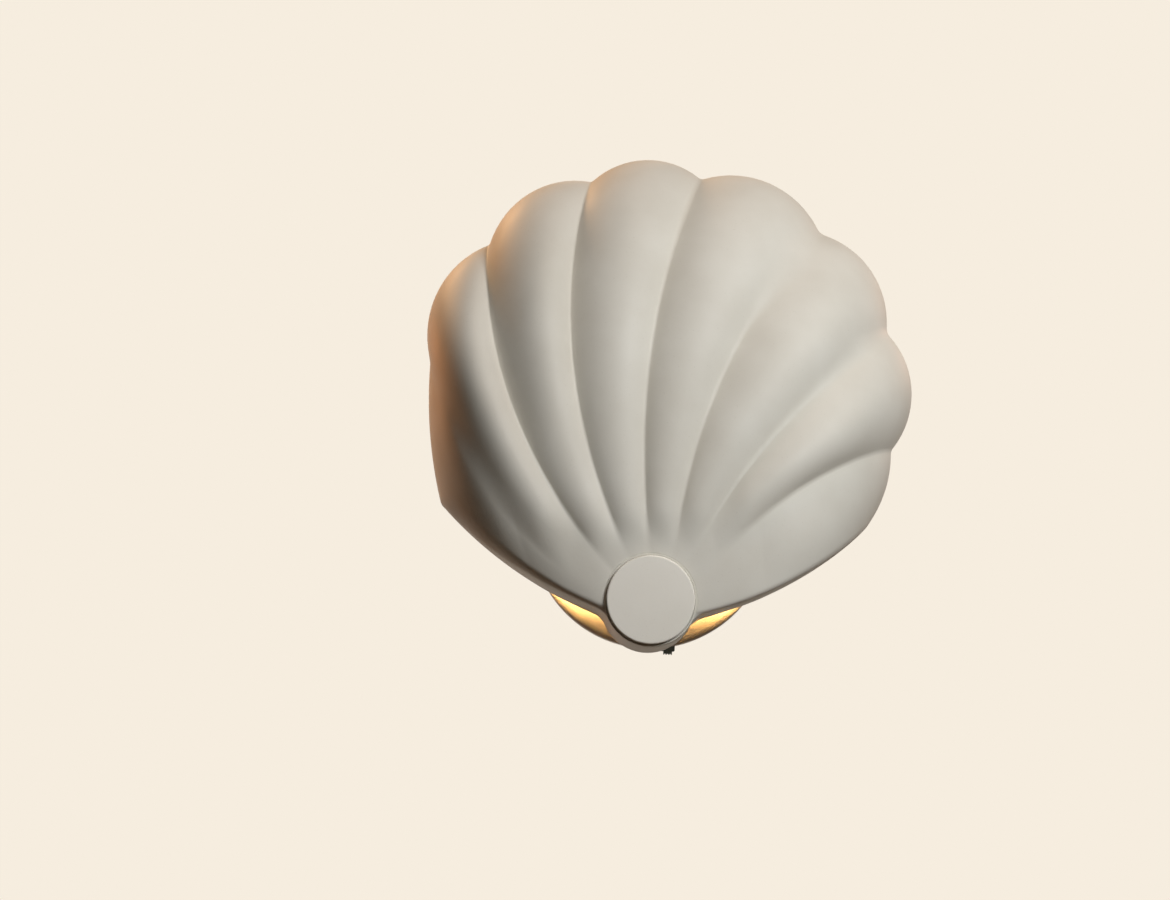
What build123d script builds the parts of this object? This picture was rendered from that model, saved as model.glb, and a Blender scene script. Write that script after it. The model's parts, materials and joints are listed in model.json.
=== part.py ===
from build123d import *
import os
from math import atan, cos, hypot, pi, radians, sin, sqrt

# Shell wall sconce: a scallop-shaped shade standing off a round canopy on a wall.
# Millimetres. +Z is up, the wall is the plane y = 0 and the front of the lamp faces -Y.
# The origin is the middle of the canopy, on the wall.

# ---------------------------------------------------------------- driving dimensions
# shade
BOSS_Z = -43.0             # height of the boss axis, where all the ribs meet
SHADE_GAP = 27.0           # rear edge of the shade, measured from the wall
FACE_DEPTH = 88.0          # face of the shade at the boss, measured from the wall
SHADE_WALL = 4.0
PROFILE_POWER = 3.0        # how long a rib stays flat before it rolls over to the rim
PROFILE_ROUND = 1.7        # how round that roll is
ROOT_RADIUS = 22.0         # where the creases start, about the boss axis

# crease: angle and radius of its end on the rim, angle of its root, sideways bow
# (angles from straight up, clockwise seen from the front, about the boss axis)
CREASES = [
    (-44.3, 176.3, -80.0, 31.0),
    (-26.2, 214.5, -56.0, 39.0),
    (-10.0, 233.9, -30.0, 39.5),
    (4.7, 235.2, -3.0, 28.5),
    (22.4, 223.6, 27.0, 32.0),
    (38.7, 196.2, 46.0, 20.0),
    (54.9, 154.7, 70.0, 20.0),
]
LEFT_EDGE = (-66.1, 123.6, -108.0, 12.3)     # lower edge of the face, on each side
RIGHT_EDGE = (67.0, 125.5, 108.0, -15.0)
LOBE_BULGE = [0.09, 0.19, 0.19, 0.19, 0.19, 0.19, 0.19, 0.08]   # crown height over chord
FLAT_RADIUS = 0.08         # share of a rib's length, from the boss, with no creases
FULL_RADIUS = 0.28         # share of a rib's length where the creases are fully formed

# skirt: the wall that turns back from the lower edges of the face
SKIRT_ROOT = (20.5, -8.3)
SKIRT_LEFT_CORNER = (-112.0, 48.0)
SKIRT_RIGHT_CORNER = (114.0, 46.5)
SKIRT_BOW = 13.0
SKIRT_BULGE = 0.02        # swell of the skirt over its height, away from the boss
SKIRT_FULL = 0.35          # share of its length where the swell is fully formed
LEAST_BULGE = 0.005
STATIONS = [0.0, 0.12, 0.26, 0.42, 0.58, 0.72, 0.83, 0.91, 0.965, 0.99, 1.0]
SEAT_Z = -12.0             # first station of the loft, buried in the boss
SEAT_HALF = 19.2

# boss
BOSS_BACK = 26.6
BOSS_FRONT = 88.9
BOSS_FRONT_R = 23.0
BOSS_BACK_R = 24.8
BOSS_EDGE = 0.5
BOSS_WALL = 5.0
BOSS_FLOOR_BACK = 74.0
BOSS_FLOOR_FRONT = 80.0
NUT_WELL_R = 12.5
CAP_SEAT = 86.8            # floor of the shallow seat that takes the cap
CAP_SEAT_R = 22.1
RING_IN_R = 14.0           # steel ring glued into the floor of the cap seat
RING_OUT_R = 20.5
RING_THICK = 1.0
FIT = 0.1                  # gap round a piece that is glued or set in a pocket

# cap
CAP_R = 21.85
CAP_FRONT = 91.0
CAP_EDGE = 0.9
MAGNET_R = 3.0
MAGNET_THICK = 2.0
MAGNET_CIRCLE_R = 17.0
MAGNET_COUNT = 3

# canopy
CANOPY_R = 65.0
CANOPY_DEPTH = 18.0
CANOPY_WALL = 1.5
CANOPY_EDGE = 4.0

# post that carries the shade
POST_R = 5.0
POST_HOLE_R = 5.3
POST_BACK = 8.0
POST_FRONT = 86.2
NUT_FLATS = 17.0
NUT_THICK = 4.5
NUT_CLEARANCE = 0.05
WASHER_R = 10.5
WASHER_THICK = 1.0
SPACER_R = 9.0
SPACER_FLANGE_R = 13.0
SPACER_FLANGE = 2.0
CUSHION_R = 12.0
CUSHION_THICK = 1.4
PIN_R = 1.2                # locating pin that keeps the shade upright
PIN_OFFSET = 7.1
PIN_BACK = 66.0
PIN_FRONT = 77.0
PIN_CLEARANCE = 0.3

# wall bracket
BRACKET_THICK = 2.0
BRACKET_HALF_LENGTH = 61.5
BRACKET_HALF_HEIGHT = 8.0
PAD_HALF_WIDTH = 22.0
PAD_LOW = -15.0
PAD_HIGH = 18.0
SLOT_SPACING = 83.0
SLOT_LENGTH = 12.0
SLOT_R = 2.3
TAB_FRONT = 13.0
SIDE_SCREW_DEPTH = 9.0     # side screws, measured from the wall
SIDE_SCREW_R = 1.9
SIDE_HEAD_R = 3.4
SIDE_HEAD_THICK = 2.2
SIDE_RECESS_R = 1.3
SIDE_RECESS_DEPTH = 1.0
CABLE_Z = -6.0
CABLE_R = 4.0
BUSH_R = 5.9
BUSH_FLANGE = 1.8
EARTH_X = 15.0
EARTH_Z = 13.0
EARTH_SCREW_R = 1.9
EARTH_HEAD_R = 3.6
EARTH_WASHER_R = 4.6
EARTH_WASHER_THICK = 0.8

# terminal block and leads
WAY_X = 3.6                # the two ways stand this far each side of the middle
TERMINAL_LOW = 2.0
TERMINAL_HIGH = 17.0
TERMINAL_HALF_WIDTH = 8.5
TERMINAL_FRONT = 13.0
TERMINAL_SCREW_R = 1.8
TERMINAL_SCREW_PITCH = 9.0
INSERT_R = 2.4
INSERT_BORE_R = 1.5
INSERT_INSET = 1.5
LEAD_R = 1.0
LEAD_DEPTH = 8.0

# lamp holder and bulb, on an upright axis
LAMP_DEPTH = 48.0
SHELF_TOP = 2.0
SHELF_THICK = 1.5
SHELF_HALF_WIDTH = 13.0
SHELF_FRONT = 63.0
FOOT_HIGH = 20.0
FOOT_SCREW_X = 8.0
FOOT_SCREW_Z = 12.0
FOOT_SCREW_R = 1.95
FOOT_HOLE_R = 2.1
FOOT_NUT_FLATS = 6.6
FOOT_NUT_THICK = 2.4
NIPPLE_R = 5.0
NIPPLE_BORE_R = 3.4
NIPPLE_LOW = SHELF_TOP - SHELF_THICK - 6.0
NIPPLE_HIGH = SHELF_TOP + 7.0
NIPPLE_NUT_FLATS = 14.0
NIPPLE_NUT_THICK = 3.5
HOLDER_R = 14.0
HOLDER_NECK_R = 12.5
HOLDER_SHOULDER = SHELF_TOP + 26.5
HOLDER_TOP = SHELF_TOP + 44.5
HOLDER_FLOOR = SHELF_TOP + 16.5
THREAD_R = 7.05            # bore of the threaded sleeve
THREAD_WALL = 0.55
BULB_CAP_R = 6.97
BULB_CAP_LOW = HOLDER_FLOOR + 4.0
BULB_TIP_R = 2.4
COLLAR_LOW = HOLDER_TOP + 0.4
COLLAR_TOP = COLLAR_LOW + 11.6
GLOBE_R = 22.5
GLOBE_WALL = 1.0
GLOBE_Z = COLLAR_TOP + 16.0
BOARD_R = 12.0
BOARD_THICK = 1.2
CHIP_COUNT = 8
CHIP_CIRCLE_R = 8.5
CHIP_HALF = 1.4
CHIP_THICK = 0.7

# bush for the leads in the face of the canopy
LEAD_HOLE_Z = -11.0
LEAD_HOLE_R = 6.0
LEAD_BUSH_BORE_R = 4.6
LEAD_BUSH_LIP = 1.4

# slide switch in the underside of the canopy
SWITCH_X = 7.5
SWITCH_DEPTH = 9.0         # middle of the switch, measured from the wall
SWITCH_HALF_WIDTH = 8.5
SWITCH_HALF_DEPTH = 4.5
SWITCH_FACE_Z = -66.0
SWITCH_TOP_Z = -54.0
SWITCH_EDGE = 0.5
KNOB_WIDTH = 4.6
KNOB_DEPTH = 4.8
KNOB_REST_X = 12.4
KNOB_TRAVEL = 5.0
KNOB_BOTTOM_Z = -67.8
KNOB_TOP_Z = -61.5
KNOB_GAP = 0.35
KNOB_GROOVE_PITCH = 1.4
KNOB_GROOVE_HALF = 0.35
KNOB_GROOVE_DEPTH = 0.5
SLOT_GAP = 0.8             # slot in the canopy, past the travel of the knob


# ---------------------------------------------------------------- plain shapes
def rod(radius, back, front, x=0.0, z=0.0):
    """Cylinder square to the wall, between two distances from it."""
    return Solid.make_cylinder(radius, front - back, Plane(origin=(x, -back, z), z_dir=(0, -1, 0)))


def ring(outer, bore, back, front, x=0.0, z=0.0):
    return rod(outer, back, front, x, z) - rod(bore, back, front, x, z)


def upright(radius, low, high, x=0.0, depth=LAMP_DEPTH):
    return Solid.make_cylinder(radius, high - low, Plane(origin=(x, -depth, low)))


def crossways(radius, start_x, end_x, depth, z=0.0):
    plane = Plane(origin=(start_x, -depth, z), z_dir=(1, 0, 0))
    return Solid.make_cylinder(radius, end_x - start_x, plane)


def block(x_low, x_high, back, front, z_low, z_high):
    plane = Plane(origin=(x_low, -front, z_low))
    return Solid.make_box(x_high - x_low, front - back, z_high - z_low, plane)


def hexagon(flats, back, front, x=0.0, z=0.0):
    plane = Plane(origin=(x, -back, z), z_dir=(0, -1, 0))
    outline = plane * RegularPolygon(flats / 2, 6, major_radius=False)
    return extrude(outline, front - back)


def upright_hexagon(flats, low, high, depth=LAMP_DEPTH):
    plane = Plane(origin=(0, -depth, low))
    return extrude(plane * RegularPolygon(flats / 2, 6, major_radius=False), high - low)


def turned(points, depth=LAMP_DEPTH):
    """Solid of revolution about the upright lamp axis from (radius, height) points."""
    outline = Polyline(*[(r, 0, z) for r, z in points], close=True)
    solid = revolve(make_face(outline), Axis.Z, 360)
    return solid.moved(Location((0, -depth, 0)))


def lead(points, radii):
    """Insulated wire: straight runs joined by tangent arcs."""
    path = FilletPolyline(*points, radius=radii)
    direction = path % 0
    section = Plane(origin=path @ 0, z_dir=direction) * Circle(LEAD_R)
    wire = sweep(section, path=path)
    length = path.length
    error = wire.volume / (pi * LEAD_R ** 2 * length) - 1
    print(f"lead {length:.1f} mm, radii {radii}, volume off by {error:.4f}")
    return wire


# ---------------------------------------------------------------- shade
def plan_point(angle, radius):
    return radius * sin(radians(angle)), radius * cos(radians(angle))


def bowed(start, end, bow, t):
    """Point on a quadratic curve whose middle control stands off the chord by bow."""
    dx = end[0] - start[0]
    dz = end[1] - start[1]
    length = hypot(dx, dz)
    mid_x = (start[0] + end[0]) / 2 - dz / length * bow
    mid_z = (start[1] + end[1]) / 2 + dx / length * bow
    a = (1 - t) ** 2
    b = 2 * t * (1 - t)
    c = t * t
    return a * start[0] + b * mid_x + c * end[0], a * start[1] + b * mid_z + c * end[1]


def smooth(value, low, high):
    u = min(max((value - low) / (high - low), 0.0), 1.0)
    return u * u * (3 - 2 * u)


def rib_depth(s):
    """Distance from the wall of a crease at s, from the boss (0) to the rim (1)."""
    s = min(s, 1.0)
    return SHADE_GAP + (FACE_DEPTH - SHADE_GAP) * (1 - s ** PROFILE_POWER) ** (1 / PROFILE_ROUND)


def rib_tilt(s, rim_radius):
    """Angle by which the surface leans outwards there."""
    if s >= 0.9999:
        return pi / 2
    step = 0.0005
    fall = rib_depth(s - step) - rib_depth(s + step)
    return atan(fall / (2 * step * rim_radius))


def crease_point(crease, t):
    """Point of a crease, the outward normal there and its share of the way to the rim."""
    rim_angle, rim_radius, root_angle, bow = crease
    root = plan_point(root_angle, ROOT_RADIUS)
    rim = plan_point(rim_angle, rim_radius)
    x, z = bowed(root, rim, bow, t)
    radius = hypot(x, z)
    s = radius / rim_radius
    tilt = rib_tilt(s, rim_radius)
    normal = Vector(x / radius * sin(tilt), -cos(tilt), z / radius * sin(tilt))
    return Vector(x, -rib_depth(s), BOSS_Z + z), normal, s


def skirt_point(corner, side, t):
    root = (side * SKIRT_ROOT[0], SKIRT_ROOT[1])
    x, z = bowed(root, corner, -side * SKIRT_BOW, t)
    return Vector(x, -SHADE_GAP, BOSS_Z + z)


def skirt_outward(corner, side, t):
    """Direction in the wall plane that points out of the shade, square to its lower edge."""
    step = 0.01
    along = skirt_point(corner, side, t + step) - skirt_point(corner, side, t - step)
    along = along.normalized()
    return Vector(side * along.Z, 0, -abs(along.X))


def skirt_bulge(t):
    return max(SKIRT_BULGE * smooth(t, 0, SKIRT_FULL), LEAST_BULGE)


def bulged_arc(start, end, outward, ratio):
    """Arc from start to end that swells outward by a share of its chord."""
    chord = end - start
    along = chord.normalized()
    lift = (outward - along * outward.dot(along)).normalized()
    middle = (start + end) * 0.5 + lift * (ratio * chord.length)
    return Edge.make_three_point_arc(start, middle, end)


def station_points(t):
    """Outer chain of one station: skirt, eight lobes, skirt."""
    points = []
    normals = []
    shares = []
    for crease in [LEFT_EDGE] + CREASES + [RIGHT_EDGE]:
        point, normal, share = crease_point(crease, t)
        points.append(point)
        normals.append(normal)
        shares.append(share)
    ends = [skirt_point(SKIRT_LEFT_CORNER, -1, t), skirt_point(SKIRT_RIGHT_CORNER, 1, t)]
    outs = [skirt_outward(SKIRT_LEFT_CORNER, -1, t), skirt_outward(SKIRT_RIGHT_CORNER, 1, t)]
    return points, normals, shares, ends, outs


def seat_points():
    """The first station, flat in the plane z = SEAT_Z below the boss axis."""
    count = len(CREASES) + 2
    points = []
    for index in range(count):
        x = SEAT_HALF * (2 * index / (count - 1) - 1)
        points.append(Vector(x, -FACE_DEPTH + 0.5, BOSS_Z + SEAT_Z))
    normals = [Vector(0, -1, 0)] * count
    shares = [0.0] * count
    outs = [Vector(-1, 0, 0), Vector(1, 0, 0)]
    ends = [Vector(out.X * (SEAT_HALF + 1), -SHADE_GAP, BOSS_Z + SEAT_Z) for out in outs]
    return points, normals, shares, ends, outs


def station_wire(chain, skirt_ratio):
    points, normals, shares, ends, outs = chain
    inner = []
    for index, (point, normal) in enumerate(zip(points, normals)):
        shift = normal * SHADE_WALL
        if index == 0:
            shift += outs[0] * SHADE_WALL
        if index == len(points) - 1:
            shift += outs[1] * SHADE_WALL
        inner.append(point - shift)
    inner_ends = [ends[0] - outs[0] * SHADE_WALL, ends[1] - outs[1] * SHADE_WALL]

    outer_arcs = []
    inner_arcs = []

    def add(start, end, inner_start, inner_end, outward, ratio):
        outer_arcs.append(bulged_arc(start, end, outward, ratio))
        inner_arcs.append(bulged_arc(inner_end, inner_start, outward, ratio))

    add(ends[0], points[0], inner_ends[0], inner[0], outs[0], skirt_ratio)
    for index in range(len(points) - 1):
        share = (shares[index] + shares[index + 1]) / 2
        ratio = max(LOBE_BULGE[index] * smooth(share, FLAT_RADIUS, FULL_RADIUS), 0.02)
        outward = normals[index] + normals[index + 1]
        add(points[index], points[index + 1], inner[index], inner[index + 1], outward, ratio)
    add(points[-1], ends[1], inner[-1], inner_ends[1], outs[1], skirt_ratio)

    close_right = Edge.make_line(ends[1], inner_ends[1])
    close_left = Edge.make_line(inner_ends[0], ends[0])
    return Wire(outer_arcs + [close_right] + inner_arcs[::-1] + [close_left])


def boss_radius(depth):
    share = (depth - BOSS_BACK) / (BOSS_FRONT - BOSS_BACK)
    return BOSS_BACK_R + (BOSS_FRONT_R - BOSS_BACK_R) * share


def boss_cone(back, front, wall=0.0):
    plane = Plane(origin=(0, -back, BOSS_Z), z_dir=(0, -1, 0))
    return Solid.make_cone(boss_radius(back) - wall, boss_radius(front) - wall, front - back, plane)


def make_shade():
    wires = [station_wire(seat_points(), skirt_bulge(0))]
    wires += [station_wire(station_points(t), skirt_bulge(t)) for t in STATIONS]
    shell = Solid.make_loft(wires)
    boss = boss_cone(BOSS_BACK, BOSS_FRONT)
    boss = fillet(boss.edges().sort_by(Axis.Y)[0], BOSS_EDGE)
    shade = shell + boss - boss_cone(BOSS_BACK - 1, BOSS_FLOOR_BACK, BOSS_WALL)
    shade -= rod(CAP_SEAT_R, CAP_SEAT, CAP_FRONT + 5, z=BOSS_Z)
    groove_back = CAP_SEAT - RING_THICK
    shade -= ring(RING_OUT_R + FIT, RING_IN_R - FIT, groove_back, CAP_SEAT + 1, z=BOSS_Z)
    shade -= rod(NUT_WELL_R, BOSS_FLOOR_FRONT, CAP_SEAT + 1, z=BOSS_Z)
    shade -= rod(POST_HOLE_R, BOSS_FLOOR_BACK - 1, BOSS_FLOOR_FRONT + 1, z=BOSS_Z)
    pin_r = PIN_R + PIN_CLEARANCE
    return shade - rod(pin_r, BOSS_FLOOR_BACK - 1, PIN_FRONT + 0.5, z=BOSS_Z + PIN_OFFSET)


# ---------------------------------------------------------------- cap over the fixing nut
def magnet_places():
    return [360 / MAGNET_COUNT * index for index in range(MAGNET_COUNT)]


def magnet(angle, gap=0.0):
    x, z = plan_point(angle, MAGNET_CIRCLE_R)
    back = CAP_SEAT + FIT
    return rod(MAGNET_R + gap, back, back + MAGNET_THICK + gap, x, BOSS_Z + z)


def make_cap_disc():
    disc = rod(CAP_R, CAP_SEAT + FIT, CAP_FRONT, z=BOSS_Z)
    front_edge = disc.edges().sort_by(Axis.Y)[0]
    disc = fillet(front_edge, CAP_EDGE)
    for angle in magnet_places():
        disc -= magnet(angle, 0.05)
    return disc


def make_cap_magnets():
    return Compound([magnet(angle) for angle in magnet_places()])


def make_cap_steel_ring():
    return ring(RING_OUT_R, RING_IN_R, CAP_SEAT - RING_THICK, CAP_SEAT, z=BOSS_Z)


# ---------------------------------------------------------------- post and its fixings
def make_shade_post():
    return rod(POST_R, POST_BACK, POST_FRONT, z=BOSS_Z)


def make_shade_nut():
    back = BOSS_FLOOR_FRONT + WASHER_THICK
    nut = hexagon(NUT_FLATS, back, back + NUT_THICK, z=BOSS_Z)
    return nut - rod(POST_R + NUT_CLEARANCE, back - 1, back + NUT_THICK + 1, z=BOSS_Z)


def make_shade_washer():
    back = BOSS_FLOOR_FRONT
    return ring(WASHER_R, POST_HOLE_R, back, back + WASHER_THICK, z=BOSS_Z)


def make_spacer():
    front = BOSS_FLOOR_BACK - CUSHION_THICK
    sleeve = ring(SPACER_R, POST_HOLE_R, CANOPY_DEPTH, front, z=BOSS_Z)
    flange_front = CANOPY_DEPTH + SPACER_FLANGE
    sleeve += ring(SPACER_FLANGE_R, POST_HOLE_R, CANOPY_DEPTH, flange_front, z=BOSS_Z)
    return sleeve - rod(PIN_R, PIN_BACK, front + 1, z=BOSS_Z + PIN_OFFSET)


def make_cushion_washer():
    front = BOSS_FLOOR_BACK
    washer = ring(CUSHION_R, POST_HOLE_R, front - CUSHION_THICK, front, z=BOSS_Z)
    return washer - rod(PIN_R, front - 3, front + 1, z=BOSS_Z + PIN_OFFSET)


def make_locating_pin():
    return rod(PIN_R, PIN_BACK, PIN_FRONT, z=BOSS_Z + PIN_OFFSET)


def make_post_nut():
    front = CANOPY_DEPTH - CANOPY_WALL - WASHER_THICK
    nut = hexagon(NUT_FLATS, front - NUT_THICK, front, z=BOSS_Z)
    return nut - rod(POST_R, front - NUT_THICK - 1, front + 1, z=BOSS_Z)


def make_post_washer():
    front = CANOPY_DEPTH - CANOPY_WALL
    return ring(WASHER_R, POST_HOLE_R, front - WASHER_THICK, front, z=BOSS_Z)


# ---------------------------------------------------------------- canopy and wall bracket
def knob_slot(gap, low, high):
    """The space that the switch knob sweeps, widened by gap all round."""
    right = KNOB_REST_X + KNOB_WIDTH / 2 + gap
    left = KNOB_REST_X - KNOB_TRAVEL - KNOB_WIDTH / 2 - gap
    half = KNOB_DEPTH / 2 + gap
    return block(left, right, SWITCH_DEPTH - half, SWITCH_DEPTH + half, low, high)


def make_canopy():
    cup = rod(CANOPY_R, 0, CANOPY_DEPTH)
    cup = fillet(cup.edges().sort_by(Axis.Y)[0], CANOPY_EDGE)
    hollow = rod(CANOPY_R - CANOPY_WALL, -1, CANOPY_DEPTH - CANOPY_WALL)
    hollow = fillet(hollow.edges().sort_by(Axis.Y)[0], CANOPY_EDGE - CANOPY_WALL)
    cup -= hollow
    cup -= rod(POST_HOLE_R, 0, CANOPY_DEPTH + 1, z=BOSS_Z)
    cup -= rod(LEAD_HOLE_R, 0, CANOPY_DEPTH + 1, z=LEAD_HOLE_Z)
    for side in (-1, 1):
        cup -= rod(FOOT_HOLE_R, 0, CANOPY_DEPTH + 1, side * FOOT_SCREW_X, FOOT_SCREW_Z)
    hole_r = SIDE_SCREW_R + 0.3
    cup -= crossways(hole_r, -CANOPY_R - 1, CANOPY_R + 1, SIDE_SCREW_DEPTH)
    return cup - knob_slot(SLOT_GAP, -CANOPY_R - 1, -CANOPY_R + 6)


def make_wall_bracket():
    length = BRACKET_HALF_LENGTH
    half = BRACKET_HALF_HEIGHT
    bracket = block(-length, length, 0, BRACKET_THICK, -half, half)
    bracket += block(-PAD_HALF_WIDTH, PAD_HALF_WIDTH, 0, BRACKET_THICK, PAD_LOW, PAD_HIGH)
    for side in (-1, 1):
        near = side * (length - BRACKET_THICK)
        far = side * length
        bracket += block(min(near, far), max(near, far), 0, TAB_FRONT, -half, half)
        middle = side * SLOT_SPACING / 2
        reach = SLOT_LENGTH / 2 - SLOT_R
        slot = block(middle - reach, middle + reach, -1, BRACKET_THICK + 1, -SLOT_R, SLOT_R)
        for end in (-1, 1):
            slot += rod(SLOT_R, -1, BRACKET_THICK + 1, middle + end * reach)
        bracket -= slot
    bracket -= crossways(SIDE_SCREW_R, -length - 1, length + 1, SIDE_SCREW_DEPTH)
    bracket -= rod(BUSH_R, -1, BRACKET_THICK + 1, z=CABLE_Z)
    return bracket - rod(EARTH_SCREW_R, -1, BRACKET_THICK + 1, EARTH_X, EARTH_Z)


def make_side_screws():
    screws = []
    for side in (-1, 1):
        shank_ends = sorted((side * (BRACKET_HALF_LENGTH - 4), side * CANOPY_R))
        head_ends = sorted((side * CANOPY_R, side * (CANOPY_R + SIDE_HEAD_THICK)))
        recess_back = CANOPY_R + SIDE_HEAD_THICK - SIDE_RECESS_DEPTH
        recess_ends = sorted((side * recess_back, side * (recess_back + 2)))
        shank = crossways(SIDE_SCREW_R - 0.02, *shank_ends, SIDE_SCREW_DEPTH)
        head = crossways(SIDE_HEAD_R, *head_ends, SIDE_SCREW_DEPTH)
        recess = crossways(SIDE_RECESS_R, *recess_ends, SIDE_SCREW_DEPTH)
        screws.append(shank + head - recess)
    return Compound(screws)


def make_cable_bush():
    bush = rod(BUSH_R, 0, BRACKET_THICK, z=CABLE_Z)
    bush += rod(BUSH_R + BUSH_FLANGE, BRACKET_THICK, BRACKET_THICK + 1.2, z=CABLE_Z)
    return bush - rod(CABLE_R, -1, BRACKET_THICK + 3, z=CABLE_Z)


def make_earth_screw():
    seat = BRACKET_THICK + EARTH_WASHER_THICK
    top = seat + 2.2
    head = rod(EARTH_HEAD_R, seat, top, EARTH_X, EARTH_Z)
    shank = rod(EARTH_SCREW_R - 0.02, 0, seat, EARTH_X, EARTH_Z)
    cross = block(EARTH_X - 2.4, EARTH_X + 2.4, top - 1, top + 1, EARTH_Z - 0.4, EARTH_Z + 0.4)
    cross += block(EARTH_X - 0.4, EARTH_X + 0.4, top - 1, top + 1, EARTH_Z - 2.4, EARTH_Z + 2.4)
    return head + shank - cross


def make_earth_washer():
    front = BRACKET_THICK + EARTH_WASHER_THICK
    return ring(EARTH_WASHER_R, EARTH_SCREW_R + 0.1, BRACKET_THICK, front, EARTH_X, EARTH_Z)


# ---------------------------------------------------------------- terminal block and leads
def terminal_screw_heights():
    middle = (TERMINAL_LOW + TERMINAL_HIGH) / 2
    return [middle - TERMINAL_SCREW_PITCH / 2, middle + TERMINAL_SCREW_PITCH / 2]


def make_terminal_block():
    width = TERMINAL_HALF_WIDTH
    body = block(-width, width, BRACKET_THICK, TERMINAL_FRONT, TERMINAL_LOW, TERMINAL_HIGH)
    body = fillet(body.edges().filter_by(Axis.Z), 1.2)
    for side in (-1, 1):
        x = side * WAY_X
        body -= upright(INSERT_R, TERMINAL_LOW - 1, TERMINAL_HIGH + 1, x, LEAD_DEPTH)
        for z in terminal_screw_heights():
            body -= rod(TERMINAL_SCREW_R + FIT, LEAD_DEPTH, TERMINAL_FRONT + 1, x, z)
    return body


def make_terminal_inserts():
    inserts = []
    low = TERMINAL_LOW + INSERT_INSET
    high = TERMINAL_HIGH - INSERT_INSET
    for side in (-1, 1):
        x = side * WAY_X
        insert = upright(INSERT_R, low, high, x, LEAD_DEPTH)
        insert -= upright(INSERT_BORE_R, low - 1, high + 1, x, LEAD_DEPTH)
        inserts.append(insert)
    return Compound(inserts)


def make_terminal_screws():
    screws = []
    for side in (-1, 1):
        for z in terminal_screw_heights():
            x = side * WAY_X
            screw = rod(TERMINAL_SCREW_R, LEAD_DEPTH + INSERT_R, TERMINAL_FRONT - 0.6, x, z)
            slot = block(x - 2, x + 2, TERMINAL_FRONT - 1.4, TERMINAL_FRONT, z - 0.3, z + 0.3)
            screws.append(screw - slot)
    return Compound(screws)


def make_lead_bush():
    wall_back = CANOPY_DEPTH - CANOPY_WALL
    lip_r = LEAD_HOLE_R + LEAD_BUSH_LIP
    bush = rod(LEAD_HOLE_R, wall_back, CANOPY_DEPTH, z=LEAD_HOLE_Z)
    bush += rod(lip_r, CANOPY_DEPTH, CANOPY_DEPTH + LEAD_BUSH_LIP, z=LEAD_HOLE_Z)
    bush += rod(lip_r, wall_back - LEAD_BUSH_LIP, wall_back, z=LEAD_HOLE_Z)
    return bush - rod(LEAD_BUSH_BORE_R, wall_back - 2, CANOPY_DEPTH + 2, z=LEAD_HOLE_Z)


def make_neutral_lead():
    """From the terminal block through the bush and up into the lamp holder."""
    points = [
        (-WAY_X, -LEAD_DEPTH, TERMINAL_LOW + 4),
        (-WAY_X, -LEAD_DEPTH, LEAD_HOLE_Z),
        (-1.6, -26, LEAD_HOLE_Z),
        (-1.6, -LAMP_DEPTH, LEAD_HOLE_Z),
        (-1.6, -LAMP_DEPTH, HOLDER_FLOOR - 3),
    ]
    return lead(points, [7.5, 60, 9.5])


def make_live_lead():
    """From the terminal block down past the post nut to the switch."""
    points = [
        (WAY_X, -LEAD_DEPTH, TERMINAL_LOW + 4),
        (WAY_X, -LEAD_DEPTH, -6),
        (14, -6, -20),
        (15, -6, -38),
        (11, -SWITCH_DEPTH, -47),
        (11, -SWITCH_DEPTH, SWITCH_TOP_Z),
    ]
    return lead(points, [15, 20, 14, 10])


def make_switched_lead():
    """From the switch up behind the post, through the bush and into the lamp holder."""
    points = [
        (3, -5.7, SWITCH_TOP_Z),
        (3, -5.7, -20),
        (1.6, -14.5, LEAD_HOLE_Z),
        (1.6, -LAMP_DEPTH, LEAD_HOLE_Z),
        (1.6, -LAMP_DEPTH, HOLDER_FLOOR - 3),
    ]
    return lead(points, [13, 13, 9.5])


# ---------------------------------------------------------------- lamp holder
def make_holder_bracket():
    foot_back = CANOPY_DEPTH
    foot_front = foot_back + SHELF_THICK
    low = SHELF_TOP - SHELF_THICK
    width = SHELF_HALF_WIDTH
    bracket = block(-width, width, foot_back, foot_front, low, FOOT_HIGH)
    bracket += block(-width, width, foot_back, SHELF_FRONT, low, SHELF_TOP)
    bracket -= upright(NIPPLE_R + 0.1, low - 1, SHELF_TOP + 1)
    for side in (-1, 1):
        x = side * FOOT_SCREW_X
        bracket -= rod(FOOT_HOLE_R, foot_back - 1, foot_front + 1, x, FOOT_SCREW_Z)
    return bracket


def make_holder_screws():
    screws = []
    seat = CANOPY_DEPTH + SHELF_THICK
    for side in (-1, 1):
        x = side * FOOT_SCREW_X
        screw = rod(FOOT_SCREW_R, CANOPY_DEPTH - 4.4, seat + 1, x, FOOT_SCREW_Z)
        screw += rod(3.5, seat, seat + 2.2, x, FOOT_SCREW_Z)
        slot = block(x - 4, x + 4, seat + 1.3, seat + 3, FOOT_SCREW_Z - 0.5, FOOT_SCREW_Z + 0.5)
        screws.append(screw - slot)
    return Compound(screws)


def make_holder_screw_nuts():
    nuts = []
    front = CANOPY_DEPTH - CANOPY_WALL
    back = front - FOOT_NUT_THICK
    for side in (-1, 1):
        x = side * FOOT_SCREW_X
        nut = hexagon(FOOT_NUT_FLATS, back, front, x, FOOT_SCREW_Z)
        nuts.append(nut - rod(FOOT_SCREW_R, back - 1, front + 1, x, FOOT_SCREW_Z))
    return Compound(nuts)


def make_holder_nipple():
    nipple = upright(NIPPLE_R, NIPPLE_LOW, NIPPLE_HIGH)
    return nipple - upright(NIPPLE_BORE_R, NIPPLE_LOW - 1, NIPPLE_HIGH + 1)


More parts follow.
